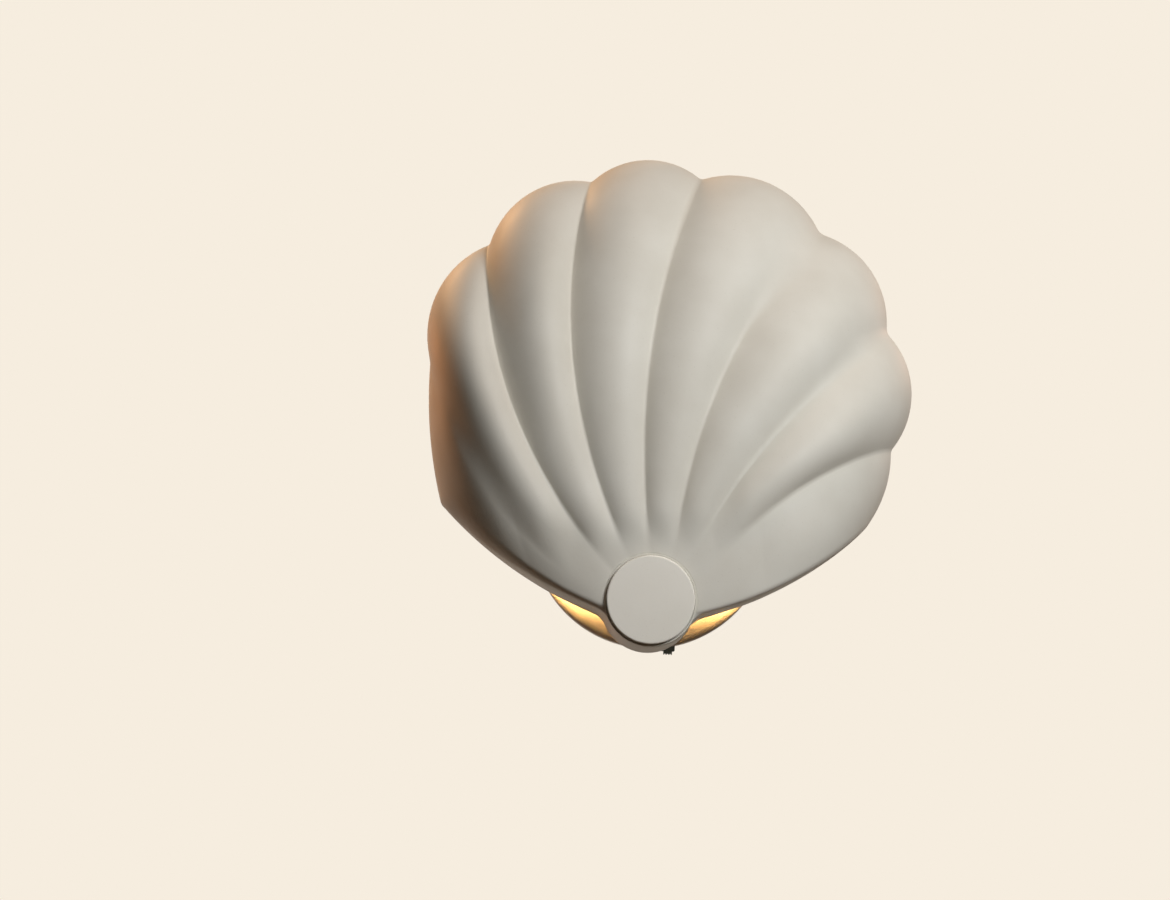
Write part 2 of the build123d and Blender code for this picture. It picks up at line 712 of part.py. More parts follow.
def make_nipple_nut():
    high = SHELF_TOP - SHELF_THICK
    low = high - NIPPLE_NUT_THICK
    return upright_hexagon(NIPPLE_NUT_FLATS, low, high) - upright(NIPPLE_R, low - 1, high + 1)


def make_lamp_holder():
    holder = upright(HOLDER_R, SHELF_TOP, HOLDER_SHOULDER)
    holder += upright(HOLDER_NECK_R, HOLDER_SHOULDER, HOLDER_TOP)
    holder = fillet(holder.edges().filter_by(GeomType.CIRCLE).sort_by(Axis.Z)[-1], 1.0)
    holder -= upright(NIPPLE_R, SHELF_TOP - 1, NIPPLE_HIGH)
    holder -= upright(NIPPLE_BORE_R, SHELF_TOP, HOLDER_FLOOR - 2)
    return holder - upright(THREAD_R + THREAD_WALL, HOLDER_FLOOR, HOLDER_TOP + 1)


def make_thread_sleeve():
    low = HOLDER_FLOOR + 3
    high = HOLDER_TOP - 3
    sleeve = upright(THREAD_R + THREAD_WALL, low, high)
    return sleeve - upright(THREAD_R, low - 1, high + 1)


def make_centre_contact():
    contact = upright(3.0, HOLDER_FLOOR, HOLDER_FLOOR + 1)
    return contact + upright(1.8, HOLDER_FLOOR, BULB_CAP_LOW - 1.1)


# ---------------------------------------------------------------- bulb
def make_bulb_cap():
    cap = upright(BULB_CAP_R, BULB_CAP_LOW, COLLAR_LOW)
    return cap + upright(BULB_TIP_R, BULB_CAP_LOW - 1, BULB_CAP_LOW)


def make_bulb_collar():
    mouth = sqrt(GLOBE_R ** 2 - (GLOBE_Z - COLLAR_TOP) ** 2)
    points = [
        (0, COLLAR_LOW),
        (9.5, COLLAR_LOW),
        (11.5, COLLAR_LOW + 1),
        (mouth, COLLAR_TOP),
        (0, COLLAR_TOP),
    ]
    return turned(points)


def make_bulb_globe():
    centre = Location((0, -LAMP_DEPTH, GLOBE_Z))
    globe = Solid.make_sphere(GLOBE_R, angle1=-90).moved(centre)
    globe -= Solid.make_sphere(GLOBE_R - GLOBE_WALL, angle1=-90).moved(centre)
    reach = GLOBE_R + 1
    below = block(-reach, reach, LAMP_DEPTH - reach, LAMP_DEPTH + reach, 0, COLLAR_TOP)
    return globe - below


def make_bulb_led_board():
    top = COLLAR_TOP + BOARD_THICK
    board = upright(BOARD_R, COLLAR_TOP, top)
    for index in range(CHIP_COUNT):
        x, y = plan_point(index * 360 / CHIP_COUNT, CHIP_CIRCLE_R)
        depth = LAMP_DEPTH - y
        sides = (x - CHIP_HALF, x + CHIP_HALF, depth - CHIP_HALF, depth + CHIP_HALF)
        board += block(*sides, top, top + CHIP_THICK)
    return board


# ---------------------------------------------------------------- slide switch
def make_switch_body():
    back = SWITCH_DEPTH - SWITCH_HALF_DEPTH
    front = SWITCH_DEPTH + SWITCH_HALF_DEPTH
    left = SWITCH_X - SWITCH_HALF_WIDTH
    right = SWITCH_X + SWITCH_HALF_WIDTH
    bezel = block(left, right, back, front, SWITCH_FACE_Z, -CANOPY_R + 6)
    bezel = fillet(bezel.edges().filter_by(Axis.Y), SWITCH_EDGE)
    bezel -= rod(CANOPY_R, back - 1, front + 1)
    inner_r = CANOPY_R - CANOPY_WALL
    case = block(left + 1, right - 1, back, front, -inner_r - 1, SWITCH_TOP_Z)
    case &= rod(inner_r, back - 1, front + 1)
    neck = knob_slot(SLOT_GAP - 0.05, SWITCH_FACE_Z + 0.5, -inner_r + 3)
    body = bezel + case + neck
    return body - knob_slot(KNOB_GAP, SWITCH_FACE_Z - 1, KNOB_TOP_Z + KNOB_GAP)


def make_switch_knob():
    left = KNOB_REST_X - KNOB_WIDTH / 2
    right = KNOB_REST_X + KNOB_WIDTH / 2
    back = SWITCH_DEPTH - KNOB_DEPTH / 2
    front = SWITCH_DEPTH + KNOB_DEPTH / 2
    knob = block(left, right, back, front, KNOB_BOTTOM_Z, KNOB_TOP_Z)
    groove_top = KNOB_BOTTOM_Z + KNOB_GROOVE_DEPTH
    for index in (-1, 0, 1):
        x = KNOB_REST_X + index * KNOB_GROOVE_PITCH
        sides = (x - KNOB_GROOVE_HALF, x + KNOB_GROOVE_HALF, back - 1, front + 1)
        knob -= block(*sides, KNOB_BOTTOM_Z - 1, groove_top)
    return knob


# ---------------------------------------------------------------- files
NODES = {
    "shell_shade": make_shade,
    "cap_disc": make_cap_disc,
    "cap_magnets": make_cap_magnets,
    "cap_steel_ring": make_cap_steel_ring,
    "shade_nut": make_shade_nut,
    "shade_washer": make_shade_washer,
    "shade_post": make_shade_post,
    "spacer_sleeve": make_spacer,
    "cushion_washer": make_cushion_washer,
    "locating_pin": make_locating_pin,
    "post_nut": make_post_nut,
    "post_washer": make_post_washer,
    "canopy": make_canopy,
    "wall_bracket": make_wall_bracket,
    "side_screws": make_side_screws,
    "cable_bush": make_cable_bush,
    "earth_screw": make_earth_screw,
    "earth_washer": make_earth_washer,
    "terminal_block": make_terminal_block,
    "terminal_inserts": make_terminal_inserts,
    "terminal_screws": make_terminal_screws,
    "lead_bush": make_lead_bush,
    "neutral_lead": make_neutral_lead,
    "live_lead": make_live_lead,
    "switched_lead": make_switched_lead,
    "holder_bracket": make_holder_bracket,
    "holder_screws": make_holder_screws,
    "holder_screw_nuts": make_holder_screw_nuts,
    "holder_nipple": make_holder_nipple,
    "nipple_nut": make_nipple_nut,
    "lamp_holder": make_lamp_holder,
    "thread_sleeve": make_thread_sleeve,
    "centre_contact": make_centre_contact,
    "bulb_cap": make_bulb_cap,
    "bulb_collar": make_bulb_collar,
    "bulb_globe": make_bulb_globe,
    "bulb_led_board": make_bulb_led_board,
    "switch_body": make_switch_body,
    "switch_knob": make_switch_knob,
}

os.makedirs("parts", exist_ok=True)
for name, make in NODES.items():
    export_step(make(), f"parts/{name}.step")
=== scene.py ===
import json
import math

import bpy
import numpy as np
from mathutils import Matrix, Vector


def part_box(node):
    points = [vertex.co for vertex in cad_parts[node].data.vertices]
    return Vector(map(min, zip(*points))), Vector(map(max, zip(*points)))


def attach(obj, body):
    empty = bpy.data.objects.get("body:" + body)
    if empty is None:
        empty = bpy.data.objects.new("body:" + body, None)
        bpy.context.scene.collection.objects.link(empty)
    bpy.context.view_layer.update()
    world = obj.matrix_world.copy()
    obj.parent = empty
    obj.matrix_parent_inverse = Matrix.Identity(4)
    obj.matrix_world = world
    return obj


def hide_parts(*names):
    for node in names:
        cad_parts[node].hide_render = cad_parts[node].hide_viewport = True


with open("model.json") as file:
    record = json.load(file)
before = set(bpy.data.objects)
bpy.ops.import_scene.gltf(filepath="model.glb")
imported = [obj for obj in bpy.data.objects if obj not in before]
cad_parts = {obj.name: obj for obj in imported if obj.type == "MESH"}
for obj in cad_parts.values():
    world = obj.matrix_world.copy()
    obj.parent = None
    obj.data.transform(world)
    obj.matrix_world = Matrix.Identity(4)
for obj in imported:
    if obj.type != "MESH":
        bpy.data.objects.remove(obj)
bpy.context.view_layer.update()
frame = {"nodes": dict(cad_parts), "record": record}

MM = 0.001                     # shapes are worked out in millimetres and made in metres


# ------------------------------------------------------------ shade sizes, mm
def middle(node):
    low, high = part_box(node)
    return (low + high) / 2 / MM


# depths are distances in front of y = 0; angles are in degrees about the middle of the boss,
# from straight up towards the right
BOSS_Z = middle("cap_disc").z
SHADE_GAP = 27.0               # depth of the rear rim
FACE_DEPTH = 88.0              # depth of the ribs' front
SHADE_WALL = 4.0
PROFILE_POWER = 3.0            # how long a rib stays flat before it rolls over to the rim
EDGE_POWER = 2.2               # the left face edge falls away sooner
PROFILE_ROUND = 1.7            # how round that roll is
ROOT_RADIUS = 22.0             # where the ribs start

# crease: angle and radius of its end on the rim, angle of its root, sideways bow
CREASES = [
    (-44.3, 176.3, -80.0, 31.0),
    (-26.2, 214.5, -56.0, 39.0),
    (-10.0, 233.9, -30.0, 39.5),
    (4.7, 235.15, -3.0, 28.5),
    (22.4, 223.6, 27.0, 32.0),
    (38.7, 196.2, 46.0, 20.0),
    (54.9, 154.7, 70.0, 20.0),
]
LEFT_EDGE = (-66.1, 123.6, -108.0, 12.3)
RIGHT_EDGE = (67.0, 125.5, 108.0, -15.0)
RIBS = [LEFT_EDGE] + CREASES + [RIGHT_EDGE]
# lobe: how far it swells over its chord, the radii where that begins and is full,
# and how far its ridge leans over to the right
LOBES = [
    (0.04, 50.0, 90.0, 0.0),
    (0.19, 38.0, 75.0, 1.0),
    (0.19, 27.0, 52.0, 1.0),
    (0.19, 25.0, 46.0, 0.4),
    (0.19, 25.0, 46.0, 0.1),
    (0.18, 27.0, 52.0, 0.5),
    (0.19, 36.0, 72.0, 0.9),
    (0.08, 48.0, 85.0, 0.0),
]
LEAN = 0.42                    # added to an arc's power, for a full lean
SWELL = 0.25                   # and how much more it swells there
LEANING = (0.3, 0.62)          # shares of the way to the rim over which ridges lean over
UPRIGHT = (0.7, 0.96)          # and stand up again
LEAST_BULGE = 0.02             # the least that a lobe swells, as it does at the boss

# skirt: its rear edge runs from root to corner, as (across, up) from the boss's middle
SKIRT_ROOT = (20.5, -8.3)
SKIRT_CORNERS = ((-112.0, 48.0), (114.0, 46.5))
SKIRT_BOW = 13.0
SKIRT_BULGE = 0.02
SKIRT_LEAST_BULGE = 0.005
SKIRT_FULL = 0.35              # share of its run after which it swells in full

# how far each side of a joint its rounding reaches, at these shares of the way to the rim
ROUND_AT = (0.0, 0.35, 0.65, 0.88, 1.0)
CRISP = (1.3, 1.3, 1.3, 1.4, 1.3)
ROUNDING = [
    (3.0, 4.0, 8.0, 12.0, 14.0),       # left face edge
    (4.0, 9.0, 11.0, 7.0, 2.0),
    CRISP,
    CRISP,
    (1.3, 1.3, 1.5, 3.0, 2.0),
    (1.5, 1.5, 2.5, 14.0, 3.0),
    (1.5, 1.5, 5.0, 9.0, 3.0),
    (3.0, 2.5, 2.0, 2.0, 2.0),
    (2.0, 2.0, 3.0, 4.0, 4.0),         # right face edge
]
ROUND_SHARE = 0.4              # and at most this share of the lobe beside it
HANDLE = 0.6                   # Bezier handle over that reach
RIM_ROUND = 1.6                # depth of the rounded rear rim
RIM_STEPS = 5
ROWS = 130
ROW_EASE = 1.75                # rows crowd towards the rim, where the ribs fall away
FINE = 4                       # curves are worked out this many times finer than the rows
LOBE_POINTS = 17
JOINT_POINTS = 6
SLOPE_STEP = 0.0005            # share of a rib over which its slope is taken
AT_RIM = 0.9999                # from this share on, a rib runs straight back
TANGENT_STEP = 0.01            # share of the skirt's edge over which its direction is taken

# ------------------------------------------------------------ boss sizes, mm
BOSS_BACK = 26.6
BOSS_FRONT = 88.25
BOSS_FRONT_R = 23.0
BOSS_BACK_R = 24.8
BOSS_EDGE = 0.2                # radius of its front outer edge
BOSS_EDGE_POINTS = 6
BOSS_WALL = 5.0
BOSS_FLOOR_BACK = 74.0
BOSS_FLOOR_FRONT = 80.0
BOSS_RING = 1.2                # from one ring of its outside to the next
BOSS_SEGMENTS = 180
WELL_EDGE = 2.0                # bevel where the hollow back meets the floor
BACK_EDGE = 1.0                # bevel of its rear inner edge
NUT_WELL_R = 12.5
CAP_SEAT = 86.8
CAP_SEAT_R = 22.1
CAP_SEAT_EDGE = 0.25           # the seat's outer edge lies this far behind the front
RING_IN_R = 13.9
RING_OUT_R = 20.6
RING_BACK = 85.8
POST_HOLE_R = 5.3
FILLET = 5.0                   # where the rolled lower edges run into the sides of the boss
FILLET_POINTS = 9
FILLET_LEAST = 0.8             # its length where the shell faces the front
FILLET_TUCK = 1.5              # the buried row lies this much further round the boss
FACES_DOWN = (0.3, 0.9)        # forward share of the normal: full fillet, no fillet
SEAM = 0.04                    # the fillet lies this far over the side of the boss
BURIED = 0.6                   # and the shell ends this far inside its wall
SHARP_ANGLE = 50.0             # edges over this angle stay crisp


# ------------------------------------------------------------ mesh tools
def smoothstep(value, low, high):
    u = np.clip((value - low) / (high - low), 0.0, 1.0)
    return u * u * (3 - 2 * u)


def unit(vectors):
    length = np.linalg.norm(vectors, axis=-1, keepdims=True)
    return vectors / np.maximum(length, 1e-9)


def surface_normals(grid):
    down = np.gradient(grid, axis=0)
    across = np.gradient(grid, axis=1)
    return unit(np.cross(down, across))


def mesh_object(name, points, faces):
    """Smooth-shaded object from points in mm, with its sharp edges kept crisp."""
    mesh = bpy.data.meshes.new(name)
    mesh.from_pydata((np.asarray(points, float) * MM).tolist(), [], faces)
    mesh.validate()
    mesh.polygons.foreach_set("use_smooth", [True] * len(mesh.polygons))
    mesh.set_sharp_from_angle(angle=math.radians(SHARP_ANGLE))
    obj = bpy.data.objects.new(name, mesh)
    bpy.context.scene.collection.objects.link(obj)
    return obj


def grid_faces(rows, columns, first=0, wrap=False, flip=False):
    """Quads of a grid of points numbered row by row."""
    faces = []
    last = columns if wrap else columns - 1
    for row in range(rows - 1):
        for column in range(last):
            a = first + row * columns + column
            b = first + row * columns + (column + 1) % columns
            quad = (a, b, b + columns, a + columns)
            faces.append(quad[::-1] if flip else quad)
    return faces


# ------------------------------------------------------------ shade surface
def plan_point(angle, radius):
    return radius * math.sin(math.radians(angle)), radius * math.cos(math.radians(angle))


def bowed(start, end, bow, t):
    """Points of a quadratic curve whose middle control stands off the chord by bow."""
    start, end = np.array(start), np.array(end)
    chord = end - start
    across = np.array([-chord[1], chord[0]]) / np.hypot(*chord)
    control = (start + end) / 2 + across * bow
    t = np.asarray(t)[..., None]
    return (1 - t) ** 2 * start + 2 * t * (1 - t) * control + t * t * end


def rib_depth(s, power):
    """Depth of a rib at a share of the way to the rim."""
    s = np.clip(s, 0.0, 1.0)
    fall = (1 - s ** power) ** (1 / PROFILE_ROUND)
    return SHADE_GAP + (FACE_DEPTH - SHADE_GAP) * fall


def rib(crease, t):
    """Points of a crease, outward normals and shares of the way to the rim."""
    rim_angle, rim_radius, root_angle, bow = crease
    power = EDGE_POWER if crease is LEFT_EDGE else PROFILE_POWER
    plan = bowed(plan_point(root_angle, ROOT_RADIUS), plan_point(rim_angle, rim_radius), bow, t)
    radius = np.hypot(plan[:, 0], plan[:, 1])
    s = radius / rim_radius
    fall = rib_depth(s - SLOPE_STEP, power) - rib_depth(s + SLOPE_STEP, power)
    slope = np.arctan(fall / (2 * SLOPE_STEP * rim_radius))
    tilt = np.where(s >= AT_RIM, math.pi / 2, slope)
    lean = np.sin(tilt) / radius
    points = np.stack([plan[:, 0], -rib_depth(s, power), BOSS_Z + plan[:, 1]], 1)
    normals = np.stack([plan[:, 0] * lean, -np.cos(tilt), plan[:, 1] * lean], 1)
    return points, normals, s


def skirt_edge(side, t):
    """Rear edge of the skirt on one side (-1 or 1), and the direction out of the shade."""
    corner = SKIRT_CORNERS[(side + 1) // 2]
    root = (side * SKIRT_ROOT[0], SKIRT_ROOT[1])
    plan = bowed(root, corner, -side * SKIRT_BOW, t)
    along = unit(bowed(root, corner, -side * SKIRT_BOW, t + TANGENT_STEP) - plan)
    points = np.stack([plan[:, 0], np.full(len(t), -SHADE_GAP), BOSS_Z + plan[:, 1]], 1)
    outward = np.stack([side * along[:, 1], np.zeros(len(t)), -np.abs(along[:, 0])], 1)
    return points, outward


class Arc:
    """One arc per row, from start to end, that swells outward by a share of its chord.

    A power over 1 leans its crown towards the end and starts it off flat.
    """

    def __init__(self, start, end, outward, ratio, power=1.0):
        chord = end - start
        length = np.linalg.norm(chord, axis=1)
        self.power = np.broadcast_to(power, length.shape)[:, None]
        self.along = unit(chord)
        across = outward - self.along * np.sum(outward * self.along, 1, keepdims=True)
        self.lift = unit(across)
        self.half = 2 * np.arctan(2 * ratio)
        self.radius = length / (2 * np.sin(self.half))
        self.length = 2 * self.half * self.radius
        self.middle = (start + end) / 2

    def at(self, v):
        """Points and tangents at shares v, one row of shares for each row of arcs."""
        half, radius = self.half[:, None], self.radius[:, None]
        angle = (2 * v - 1) * half
        leant = (2 * v ** self.power - 1) * half
        climb = np.sin(leant) * self.power * v ** (self.power - 1)
        rise = radius * (np.cos(leant) - np.cos(half))
        run = radius * np.sin(angle)
        along, lift = self.along[:, None], self.lift[:, None]
        points = self.middle[:, None] + lift * rise[..., None] + along * run[..., None]
        tangents = along * np.cos(angle)[..., None] - lift * climb[..., None]
        return points, unit(tangents)


def lobe_arc(start, end, lobe):
    """Arc of a lobe between two ribs, as rib() gives them."""
    bulge, flat, full, lean = lobe
    centre = (start[0] + end[0]) / 2 - [0, 0, BOSS_Z]
    radius = np.hypot(centre[:, 0], centre[:, 2])
    ratio = np.maximum(bulge * smoothstep(radius, flat, full), LEAST_BULGE)
    share = (start[2] + end[2]) / 2
    leaning = smoothstep(share, *LEANING) * (1 - smoothstep(share, *UPRIGHT))
    power = 1 + LEAN * lean * leaning
    ratio = ratio * (1 + SWELL * lean * leaning)
    return Arc(start[0], end[0], start[1] + end[1], ratio, power)


def bridge(start, end, start_tangent, end_tangent, reach):
    """Bezier points that round the joint between two arcs."""
    handle = HANDLE * reach[:, None]
    controls = (start, start + start_tangent * handle, end - end_tangent * handle, end)
    v = np.linspace(0.0, 1.0, JOINT_POINTS + 2)[1:-1]
    weights = ((1 - v) ** 3, 3 * v * (1 - v) ** 2, 3 * v * v * (1 - v), v ** 3)
    return sum(c[:, None] * w[None, :, None] for c, w in zip(controls, weights))


def shell_surface():
    """Grid of points: rows from the boss to the rim, columns from skirt to skirt."""
    ease = np.linspace(0.0, 1.0, ROWS * FINE)
    t = 1 - (1 - ease) ** ROW_EASE
    ribs = [rib(crease, t) for crease in RIBS]
    left, left_out = skirt_edge(-1, t)
    right, right_out = skirt_edge(1, t)
    swell = np.maximum(SKIRT_BULGE * smoothstep(t, 0, SKIRT_FULL), SKIRT_LEAST_BULGE)
    arcs = [Arc(left, ribs[0][0], left_out, swell)]
    arcs += [lobe_arc(start, end, lobe) for start, end, lobe in zip(ribs, ribs[1:], LOBES)]
    arcs.append(Arc(ribs[-1][0], right, right_out, swell))

    reach = [np.zeros(len(t))]
    for index, wanted in enumerate(ROUNDING):
        room = ROUND_SHARE * np.minimum(arcs[index].length, arcs[index + 1].length)
        reach.append(np.minimum(np.interp(ribs[index][2], ROUND_AT, wanted), room))
    reach.append(np.zeros(len(t)))

    columns = []
    shares = np.linspace(0.0, 1.0, LOBE_POINTS)[None]
    for arc, before, after in zip(arcs, reach, reach[1:]):
        low = (before / arc.length)[:, None]
        high = 1 - (after / arc.length)[:, None]
        points, tangents = arc.at(low + (high - low) * shares)
        if columns:
            columns.append(bridge(ends, points[:, 0], end_tangents, tangents[:, 0], before))
        columns.append(points)
        ends, end_tangents = points[:, -1], tangents[:, -1]
    return rooted(np.concatenate(columns, 1))


def rooted_curve(curve, front):
    """A curve from boss to rim that starts in the wall of the boss.

    A fillet leads it there where the shell faces down, as front tells: the forward share
    of its normals.
    """
    steps = np.arange(len(curve))
    plan = curve - [0, 0, BOSS_Z]
    beyond = np.hypot(plan[:, 0], plan[:, 2]) - boss_radius(-curve[:, 1]) - SEAM
    near = len(curve) // 4             # every curve leaves the boss in its first quarter
    meet = np.interp(0.0, beyond[:near], steps[:near])
    down = 1 - smoothstep(np.interp(meet, steps, front), *FACES_DOWN)
    run = np.append(0, np.cumsum(np.linalg.norm(np.diff(curve, axis=0), axis=1)))
    leave_run = np.interp(meet, steps, run) + FILLET_LEAST + FILLET * down
    leave = np.interp(leave_run, run, steps)

    def place(step):
        return np.array([np.interp(step, steps, axis) for axis in curve.T]).T

    corner = place(meet)
    angle = math.atan2(corner[0], corner[2] - BOSS_Z)
    rows = []
    for slip, sink in ((FILLET + FILLET_TUCK, BURIED), (FILLET, BURIED * (1 - down))):
        radius = boss_radius(-corner[1]) + SEAM - sink
        turned = angle + math.copysign(slip * down / radius, corner[0])
        rows.append([radius * math.sin(turned), corner[1] + sink * (1 - down),
                     BOSS_Z + radius * math.cos(turned)])
    v = np.linspace(0, 1, FILLET_POINTS, endpoint=False)[1:, None]
    curved = (1 - v) ** 2 * rows[1] + 2 * v * (1 - v) * corner + v * v * place(leave)
    rest = place(np.linspace(leave, len(curve) - 1, ROWS - FILLET_POINTS))
    return np.concatenate([rows, curved, rest])


def rooted(fine):
    """The grid with every curve from boss to rim rooted in the boss."""
    facing = np.abs(surface_normals(fine)[..., 1])
    curves = zip(np.swapaxes(fine, 0, 1), facing.T)
    return np.stack([rooted_curve(curve, front) for curve, front in curves], 1)


def shell_sheets():
    """Outer and inner sheet of the shell, as grids of points."""
    outer = shell_surface()
    normals = surface_normals(outer)
    if normals[ROWS // 2, normals.shape[1] // 2, 1] > 0:
        normals = -normals
    inner = outer - normals * SHADE_WALL
    inner[-1] = outer[-1] - unit(normals[-1] * [1, 0, 1]) * SHADE_WALL
    for sheet in (outer, inner):
        sheet[..., 1] = np.minimum(sheet[..., 1], -SHADE_GAP - RIM_ROUND)
    return outer, inner


def edge_points(outer, inner):
    """Points of the half rounds that join pairs of points towards the rear."""
    points = []
    for first, last in zip(outer, inner):
        centre, half = (first + last) / 2, (first - last) / 2
        for step in range(1, RIM_STEPS):
            angle = math.pi * step / RIM_STEPS
            back = np.array([0, RIM_ROUND * math.sin(angle), 0])
            points.append(centre + half * math.cos(angle) + back)
    return points


def shell_points_and_faces():
    """Closed shell: outer sheet, inner sheet and the rounded edge that joins them."""
    outer, inner = shell_sheets()
    rows, columns = outer.shape[:2]
    sheet = rows * columns
    faces = grid_faces(rows, columns)
    faces += grid_faces(rows, columns, first=sheet, flip=True)

    border = [row * columns for row in range(rows)]
    border += range(sheet - columns + 1, sheet)
    border += [row * columns + columns - 1 for row in range(rows - 2, -1, -1)]
    outer, inner = outer.reshape(-1, 3), inner.reshape(-1, 3)
    points = np.concatenate([outer, inner, edge_points(outer[border], inner[border])])

    def over_edge(place):
        """Numbers of the points from the outer to the inner sheet at a place on the border."""
        first = 2 * sheet + place * (RIM_STEPS - 1)
        return [border[place], *range(first, first + RIM_STEPS - 1), sheet + border[place]]

    for place in range(len(border) - 1):
        here, there = over_edge(place), over_edge(place + 1)
        for step in range(RIM_STEPS):
            faces.append((here[step], here[step + 1], there[step + 1], there[step]))
    for column in range(columns - 1):          # root edge, inside the wall of the boss
        faces.append((column + 1, column, sheet + column, sheet + column + 1))
    faces.append(tuple(reversed(over_edge(0))))
    faces.append(tuple(over_edge(len(border) - 1)))
    return points, faces


# ------------------------------------------------------------ boss
def boss_radius(depth):
    share = (depth - BOSS_BACK) / (BOSS_FRONT - BOSS_BACK)
    return BOSS_BACK_R + (BOSS_FRONT_R - BOSS_BACK_R) * share


def boss_profile():
    """Closed outline of the boss as (radius, depth)."""
    edge_depth = BOSS_FRONT - BOSS_EDGE
    outside = [(boss_radius(d), d) for d in np.arange(BOSS_BACK, edge_depth, BOSS_RING)]
    for turn in np.linspace(0, math.pi / 2, BOSS_EDGE_POINTS):
        edge_r = BOSS_FRONT_R - BOSS_EDGE + BOSS_EDGE * math.cos(turn)
        outside.append((edge_r, edge_depth + BOSS_EDGE * math.sin(turn)))
    well_front_r = boss_radius(BOSS_FLOOR_BACK) - BOSS_WALL
    well_back_r = boss_radius(BOSS_BACK) - BOSS_WALL
    inside = [
        (CAP_SEAT_R, BOSS_FRONT - CAP_SEAT_EDGE),
        (CAP_SEAT_R, CAP_SEAT),
        (RING_OUT_R, CAP_SEAT),
        (RING_OUT_R, RING_BACK),
        (RING_IN_R, RING_BACK),
        (RING_IN_R, CAP_SEAT),
        (NUT_WELL_R, CAP_SEAT),
        (NUT_WELL_R, BOSS_FLOOR_FRONT),
        (POST_HOLE_R, BOSS_FLOOR_FRONT),
        (POST_HOLE_R, BOSS_FLOOR_BACK),
        (well_front_r - WELL_EDGE, BOSS_FLOOR_BACK),
        (well_front_r, BOSS_FLOOR_BACK - WELL_EDGE),
        (well_back_r, BOSS_BACK + BACK_EDGE),
        (well_back_r + BACK_EDGE, BOSS_BACK),
    ]
    return outside + inside


def boss_points_and_faces():
    """The boss's outline turned about its axis."""
    turn = np.linspace(0, 2 * math.pi, BOSS_SEGMENTS, endpoint=False)
    profile = boss_profile()
    rings = []
    for r, depth in profile:
        ring = [r * np.sin(turn), np.full(BOSS_SEGMENTS, -depth), BOSS_Z + r * np.cos(turn)]
        rings.append(np.stack(ring, 1))
    faces = grid_faces(len(profile), BOSS_SEGMENTS, wrap=True)
    last = (len(profile) - 1) * BOSS_SEGMENTS
    for column in range(BOSS_SEGMENTS):
        after = (column + 1) % BOSS_SEGMENTS
        faces.append((last + column, last + after, after, column))
    return np.concatenate(rings), faces


def make_shade():
    """Shell and boss as one ceramic piece."""
    shell, shell_faces = shell_points_and_faces()
    boss, boss_faces = boss_points_and_faces()
    points = np.concatenate([shell, boss])
    faces = shell_faces + [tuple(i + len(shell) for i in face) for face in boss_faces]
    shade = mesh_object("shell_shade_body", points, faces)
    shade.data.materials.append(FINISHES["shade_ceramic"])
    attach(shade, "shade")
    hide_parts("shell_shade")


# ------------------------------------------------------------ materials
MIX_FACTOR, MIX_A, MIX_B, MIX_RESULT = 0, 6, 7, 2      # sockets of a colour Mix node
NOISE_LOW, NOISE_HIGH = 0.3, 0.7                       # most of a noise lies between them


def linear(code):
    """sRGB hex colour as linear red, green, blue and alpha."""
    channels = [int(code[i:i + 2], 16) / 255 for i in (1, 3, 5)]
    flat = [c / 12.92 if c <= 0.04045 else ((c + 0.055) / 1.055) ** 2.4 for c in channels]
    return (*flat, 1.0)


def add(tree, kind, sockets=None, **settings):
    """A shader node with its settings; sockets maps an input to a value or an output."""
    node = tree.nodes.new("ShaderNode" + kind)
    for name, value in settings.items():
        setattr(node, name, value)
    for name, value in (sockets or {}).items():
        if isinstance(value, bpy.types.NodeSocket):
            tree.links.new(value, node.inputs[name])
        else:
            node.inputs[name].default_value = value
    return node


def material(name, **values):
    """A new material: its node tree, its surface shader and coordinates in metres."""
    made = bpy.data.materials.new(name)
    made.use_nodes = True
    tree = made.node_tree
    shader = tree.nodes["Principled BSDF"]
    for socket, value in values.items():
        shader.inputs[socket.replace("_", " ")].default_value = value
    return made, tree, shader, add(tree, "TexCoord").outputs["Object"]


def noise(tree, where, size, detail=2.0):
    """Noise whose features are this many millimetres across."""
    node = add(tree, "TexNoise", {"Vector": where, "Scale": 1.0 / (size * MM), "Detail": detail})
    return node.outputs["Fac"]


def ranged(tree, value, to_min, to_max, from_min=0.0, from_max=1.0):
    """The value mapped from one range to another."""
    node = add(tree, "MapRange", {"Value": value, "From Min": from_min, "From Max": from_max,
                                  "To Min": to_min, "To Max": to_max})
    return node.outputs["Result"]


def mixed(tree, factor, first, second):
    """Colour between two colours, each an sRGB hex code or an output."""
    first, second = (linear(c) if isinstance(c, str) else c for c in (first, second))
    sockets = {MIX_FACTOR: factor, MIX_A: first, MIX_B: second}
    return add(tree, "Mix", sockets, data_type="RGBA").outputs[MIX_RESULT]


def bumped(tree, height, strength, depth, over=None):
    """Surface direction for a relief this many millimetres deep, which may lie over another."""
    sockets = {"Height": height, "Strength": strength, "Distance": depth * MM}
    if over:
        sockets["Normal"] = over
    return add(tree, "Bump", sockets).outputs["Normal"]


def wire(tree, shader, colour, roughness, normal):
    """Joins the outputs that make up a look to the surface shader."""
    tree.links.new(colour, shader.inputs["Base Color"])
    tree.links.new(roughness, shader.inputs["Roughness"])
    tree.links.new(normal, shader.inputs["Normal"])


